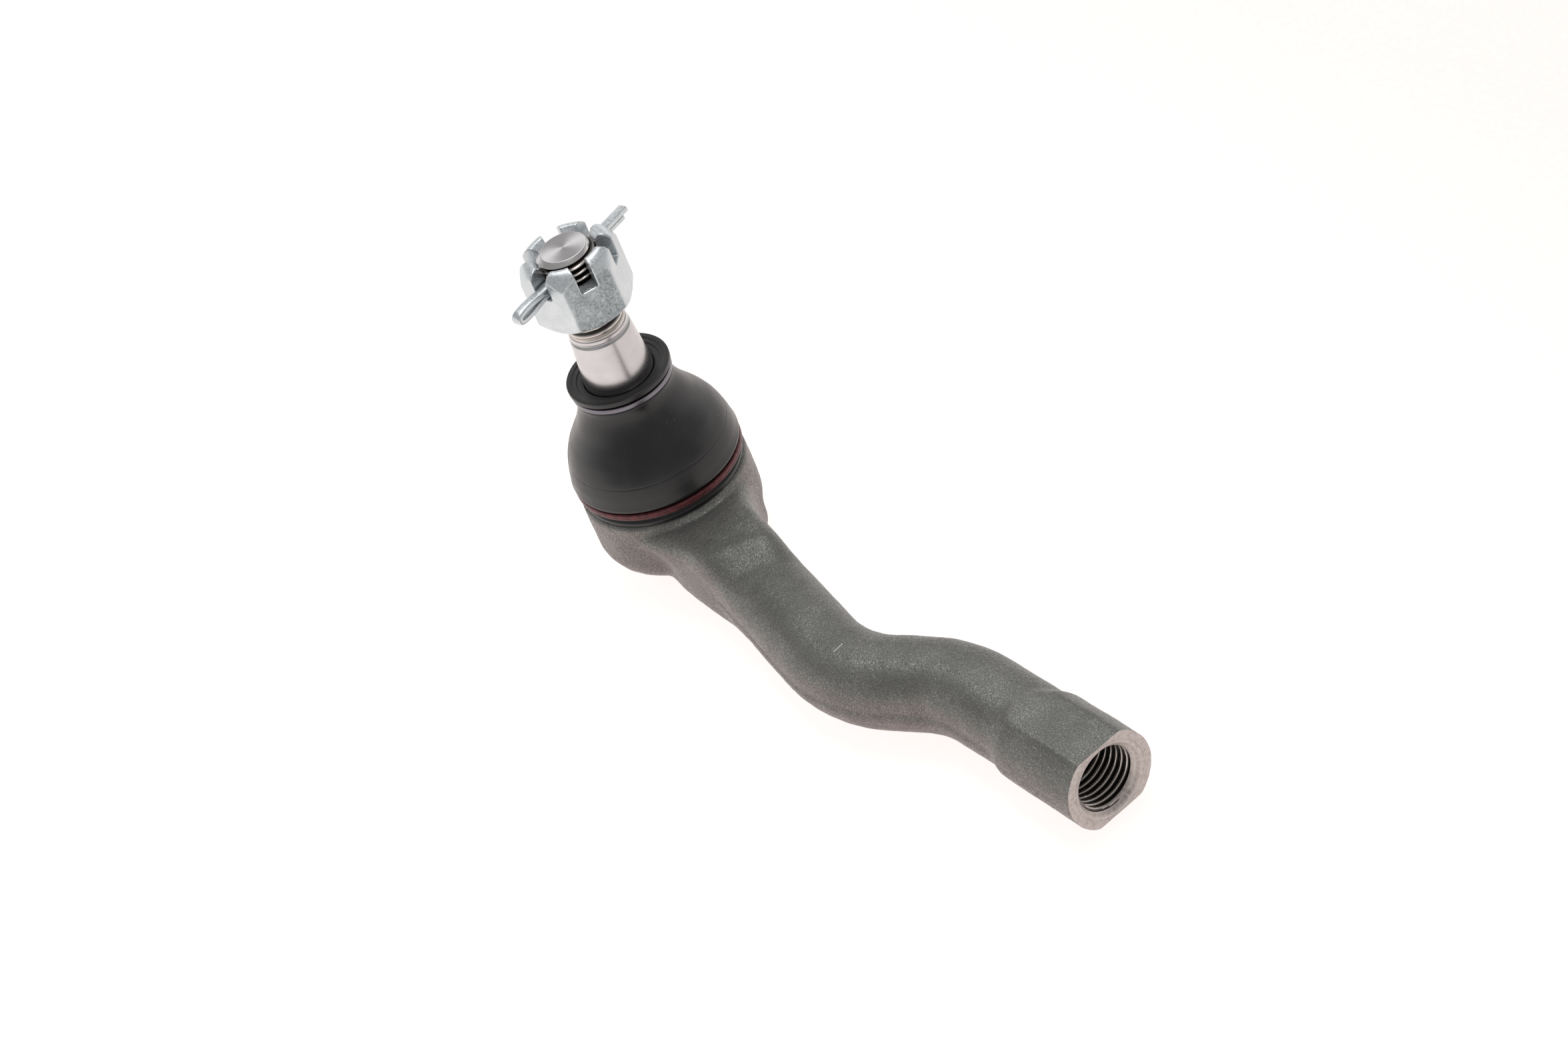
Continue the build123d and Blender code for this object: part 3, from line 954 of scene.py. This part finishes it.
def castle_nut():
    """Hexagon nut with six slots through the middle of its flats."""
    ring = hexagon(NUT_FLATS, NUT_CORNER_ROUND, NUT_CORNER_ANGLE)
    piece = tube("castle_nut_plated", [[(x, y, z) for x, y in ring] for z in (NUT_BOTTOM_Z, NUT_TOP_Z)])
    top, bottom = NUT_TOP_Z + 0.001, NUT_BOTTOM_Z - 0.001
    crown = curve_through([(11.9, top - 6.5), (11.1, top - 3.9), (10.4, top - 2.35), (9.6, top - 1.1),
                           (8.7, top - 0.3), (7.9, top)], 6)
    profile = rounded([(0, bottom), (9.1, bottom, 0.8), (12.1, NUT_BOTTOM_Z + 2.4)], 6)
    profile += crown + [(0, top)]
    cut(piece, lathe("nut_turning", profile, turns=180), "INTERSECT")
    for k in range(3):
        heading = NUT_CORNER_ANGLE + math.radians(30 + 60 * k)
        place = Matrix.Translation((0, 0, NUT_TOP_Z - SLOT_DEEP + 6)) @ Matrix.Rotation(heading, 4, "Z")
        cut(piece, block("slot", (40, SLOT_WIDE, 12), place))
    bore = [(0, NUT_BOTTOM_Z - 1), (6.8, NUT_BOTTOM_Z - 1), (6.8, NUT_BOTTOM_Z), (6.05, NUT_BOTTOM_Z + 0.8),
            (6.05, NUT_TOP_Z - 1.1), (7.2, NUT_TOP_Z), (7.2, NUT_TOP_Z + 1), (0, NUT_TOP_Z + 1)]
    cut(piece, lathe("nut_bore", bore, turns=96))
    even_skin(piece, NUT_CELL)
    edit(piece, lambda bm: relax(bm, bm.verts, 3))
    set_finishes(piece, ZINC)
    smooth(piece, 180)
    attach(piece, "stud")
    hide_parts("castle_nut")
    return piece


def pin_line():
    """The folded wire's middle line (along, up): long leg, eye, short leg."""
    start, tip = PIN_EYE_FROM, PIN_EYE_TIP
    upper = [(PIN_LONG_LEG, 0.03), (0.0, 0.03), (start + 2, 0.03)]
    eye = curve_through([(start + 1, 0.04), (start - 1.0, 0.18), (start - 3.2, 0.4), (tip + 2.4, 0.4),
                         (tip + 1.35, 0.24), (tip + 1.15, 0.0), (tip + 1.35, -0.24), (tip + 2.4, -0.4),
                         (start - 3.2, -0.4), (start - 1.0, -0.18), (start + 1, -0.04)], 6)
    lower = [(start + 2, -0.03), (0.0, -0.03), (PIN_SHORT_LEG, -0.03)]
    return upper + eye + lower


def cotter_pin():
    """Half-round wire folded on its flat side, with an upright eye."""
    around = 14
    section = [(-0.97 * PIN_R, 0.0)]
    for k in range(1, around):
        c, s = math.cos(math.pi * k / around), math.sin(math.pi * k / around)
        section.append((-PIN_R * math.copysign(abs(c) ** 0.6, c), 0.96 * PIN_R * s ** 0.4))
    section.append((0.97 * PIN_R, 0.0))
    line = [Vector(p) for p in pin_line()]
    along = Vector((math.cos(PIN_ANGLE), math.sin(PIN_ANGLE), 0))
    across = Vector((-along.y, along.x, 0))
    centre = Vector((0, 0, PIN_Z))
    rings = []
    for i, point in enumerate(line):
        ahead, behind = line[min(i + 1, len(line) - 1)], line[max(i - 1, 0)]
        run = (ahead - behind).normalized()
        out = Vector((run.y, -run.x))
        ring = []
        for side, lift in section:
            flat = point + out * lift
            ring.append(centre + along * flat.x + Vector((0, 0, flat.y)) + across * side)
        rings.append(ring)
    piece = tube("cotter_pin_wire", rings, [ZINC])
    edge = piece.modifiers.new("edges", "BEVEL")
    edge.width = 0.15 * MM
    edge.segments = 2
    edge.limit_method = "ANGLE"
    edge.angle_limit = math.radians(50)
    apply_modifiers(piece)
    smooth(piece, 45)
    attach(piece, "stud")
    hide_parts("cotter_pin")
    return piece


# ---- Boot and its rings ----

MOULD_LINE_Z = 17.1
BELL_OUTSIDE = [(18.42, 12.5), (18.25, 13.4), (18.05, 14.6), (17.66, 16.2), (17.42, MOULD_LINE_Z - 0.12),
                (17.25, MOULD_LINE_Z), (17.36, MOULD_LINE_Z + 0.12), (16.75, 18.8), (15.75, 20.7),
                (14.35, 22.7), (12.95, 24.7), (11.75, 26.9), (10.95, 28.8), (10.62, 30.4), (10.72, 31.7)]
BELL_INSIDE = [(9.2, 31.0), (9.4, 28.6), (11.6, 25.2), (13.2, 22.9), (14.65, 20.7), (15.7, 18.2),
               (16.25, 15.4), (16.5, 12.4)]
BELL_STEPS = 6
SPLIT_OUTSIDE, SPLIT_INSIDE = 8, 4  # the points at z 20.7, where the skirt's mesh meets the neck's


def boot_lower():
    """The boot's skirt: base lip, wire groove and the bell's lower half with its mould line."""
    outside = curve_through(BELL_OUTSIDE, BELL_STEPS)[:SPLIT_OUTSIDE * BELL_STEPS + 1]
    inside = curve_through(BELL_INSIDE, BELL_STEPS)[SPLIT_INSIDE * BELL_STEPS:]
    base = SHOULDER_Z + 0.1
    lip = rounded([(16.5, 11.9), (16.5, base, 0.2), (17.75, base, 0.2), (17.8, 7.95, 0.3),
                   (17.25, 8.45, 0.3), (17.25, 11.5, 0.4), (18.1, 11.25, 0.5), (18.5, 11.7, 0.5),
                   (18.5, 12.3)], 5)
    piece = lathe("boot_skirt", lip + outside + inside, [RUBBER], turns=160, closed=True, smooth_angle=50)
    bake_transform(piece)
    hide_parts("dust_boot")
    return piece


def boot_upper():
    """The boot's neck: the bell's upper half, ring groove and dished lip on the stud."""
    bell = curve_through(BELL_OUTSIDE, BELL_STEPS)[SPLIT_OUTSIDE * BELL_STEPS:]
    low, high, top = NECK_RING_LOW_Z, NECK_RING_TOP_Z, LIP_TOP_Z
    lip = rounded([bell[-1], (10.6, low - 0.1, 0.15), (9.85, low - 0.08), (9.85, high + 0.08),
                   (10.45, high + 0.12, 0.1), (10.4, high + 0.45, 0.15), (11.15, high + 0.6, 0.25),
                   (11.2, top - 0.02, 0.35), (10.1, top - 0.12, 0.1), (9.95, top - 0.42, 0.1),
                   (9.15, top - 0.5, 0.1), (9.0, top - 0.8, 0.1), (8.3, top - 0.85, 0.25),
                   (7.65, top - 1.1, 0.2), (7.95, 31.3, 0.4), (9.2, 31.0)], 4)
    inside = curve_through(BELL_INSIDE, BELL_STEPS)[1:SPLIT_INSIDE * BELL_STEPS + 1]
    piece = lathe("boot_neck", bell + lip[1:] + inside, [RUBBER], turns=160, closed=True, smooth_angle=50)
    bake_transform(piece)
    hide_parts("dust_boot")
    return piece


def grease_fill():
    """Grease packed inside the boot's skirt, clear of the stud's neck."""
    corners = [(10.6, 11.7), (15.9, 11.7), (15.6, 15.0), (14.7, 17.0), (12.9, 17.0), (11.7, 14.2),
               (10.6, 11.7)]
    outline = stretch(corners, 0.5)
    piece = lathe("grease_fill", outline[:-1], [GREASE], turns=96, closed=True)
    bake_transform(piece)
    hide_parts("grease_pack")
    return piece


def neck_ring():
    """Flat steel ring that clamps the boot's neck under the lip."""
    low, high, bore_r = NECK_RING_LOW_Z, NECK_RING_TOP_Z, 9.92
    outline = rounded([(bore_r, low + 0.6), (bore_r, low, 0.1), (NECK_RING_R, low, 0.3),
                       (NECK_RING_R, high, 0.3), (bore_r, high, 0.1), (bore_r, low + 0.6)], 4)[:-1]
    piece = lathe("neck_clamp_ring", outline, [RING], turns=144, closed=True)
    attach(piece, "boot_collar")
    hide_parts("boot_neck_ring")
    return piece


def base_ring():
    """Round wire wound in two turns in the boot's groove."""
    wire_r = 0.56
    height = BASE_RING_TOP_Z - BASE_RING_LOW_Z - 2 * wire_r
    piece = mesh_object("base_wire_ring", [], [])
    run_tree(piece, coil_tree(), turns=2.0, radius=(BASE_RING_R - wire_r) * MM, wire_radius=wire_r * MM,
             height=height * MM, base=(BASE_RING_LOW_Z + wire_r) * MM, finish=RED_WIRE)
    piece.data.transform(Matrix.Rotation(math.radians(150), 4, "Z"))
    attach(piece, "housing")
    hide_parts("boot_base_ring")
    return piece


# ---- Pieces kept from the CAD model, under the boot and in the socket ----


def finish_inside():
    """Real finishes on the seats, spring and retainer."""
    for node, finish in (("lower_ball_seat", ACETAL), ("upper_ball_seat", ACETAL), ("preload_spring", BLUED),
                         ("retainer_ring", BLUED)):
        set_finishes(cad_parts[node], finish)


# ---- Floor, light and camera ----

CAMERA_TARGET = Vector((53.2, -2.7, 20.7)) * MM
CAMERA_AROUND, CAMERA_UP, CAMERA_ROLL = math.radians(66.17), math.radians(38.54), math.radians(23.0)
CAMERA_DISTANCE, CAMERA_LENS = 0.650, 76.5
AHEAD = (math.sin(CAMERA_AROUND), -math.cos(CAMERA_AROUND), 0)  # level, from the part to the camera
SOFTBOXES = (  # name, place and target in mm, side in mm, watts
    ("back_softbox", (-180, 115, 485), (75, 0, 0), 260, 0.6),
    ("top_softbox", (60, 60, 560), (40, 0, 20), 200, 0.5),
)


def place_camera():
    """The camera: a long lens that looks down the rod, with the stud leaning left."""
    data = bpy.data.cameras.new("product_camera")
    data.lens = CAMERA_LENS
    data.sensor_width = 36.0
    data.clip_start, data.clip_end = 0.01, 20.0
    camera = show("product_camera", data)
    towards = Vector(AHEAD) * math.cos(CAMERA_UP) + Vector((0, 0, math.sin(CAMERA_UP)))
    turn = towards.to_track_quat("Z", "Y") @ Matrix.Rotation(-CAMERA_ROLL, 4, "Z").to_quaternion()
    place = Matrix.Translation(CAMERA_TARGET + towards * CAMERA_DISTANCE)
    camera.matrix_world = place @ turn.to_matrix().to_4x4()
    bpy.context.scene.camera = camera


def light_room():
    """A white light tent: bright low walls at the sides and behind, dimmer overhead and in front."""
    world = bpy.data.worlds.new("light_tent")
    bpy.context.scene.world = world
    world.use_nodes = True
    tree = world.node_tree
    direction = add(tree, "ShaderNodeTexCoord").outputs["Generated"]
    upward = add(tree, "ShaderNodeSeparateXYZ", {"Vector": direction}).outputs["Z"]
    low = spread(tree, upward, 0.1, 0.45, 1.0, 0.0)
    beside = spread(tree, dot(tree, direction, AHEAD), 0.0, 0.6, 1.0, 0.0)
    strength = maths(tree, "ADD", times(tree, times(tree, low, beside), 0.9), 0.47)
    plug(tree, tree.nodes["Background"], {"Color": linear("#fffefd"), "Strength": strength})


def area_light(name, place, target, size, power):
    """A soft square light aimed at a point (mm)."""
    data = bpy.data.lights.new(name, "AREA")
    data.shape = "SQUARE"
    data.size = size * MM
    data.energy = power
    turn = (Vector(place) - Vector(target)).to_track_quat("Z", "Y")
    show(name, data).matrix_world = Matrix.Translation(Vector(place) * MM) @ turn.to_matrix().to_4x4()


def floor():
    """Translucent white table lit from below: clean white round the part, greyer towards the camera."""
    made, tree, shader, place = material("white_light_table")
    right = add(tree, "ShaderNodeSeparateXYZ", {"Vector": place}).outputs["Y"]
    # the glow is painted to fall off towards the camera and towards +Y, as uneven light on the table
    camera_side_falloff = spread(tree, dot(tree, place, AHEAD), 0.2, 1.2, 1.0, 0.6)
    plug(tree, shader, {
        "Base Color": ramp(tree, grain(tree, place, 1.5, 2.0), (0.3, "#a8a19d"), (0.7, "#b0aaa6")),
        "Roughness": 0.9,
        "Emission Color": linear("#fffaf8"),
        "Emission Strength": times(tree, camera_side_falloff, spread(tree, right, -0.2, 0.2, 1.05, 0.7)),
    })
    low = cad_box[0][2] / MM - 0.02
    half = 3000.0
    corners = [(-half, -half, low), (half, -half, low), (half, half, low), (-half, half, low)]
    plane = mesh_object("table", corners, [(0, 1, 2, 3)], [made])


housing()
ball_stud()
castle_nut()
cotter_pin()
boot_lower()
boot_upper()
grease_fill()
neck_ring()
base_ring()
finish_inside()
floor()
light_room()
for softbox in SOFTBOXES:
    area_light(*softbox)
place_camera()
bpy.context.scene.view_settings.view_transform = "Standard"
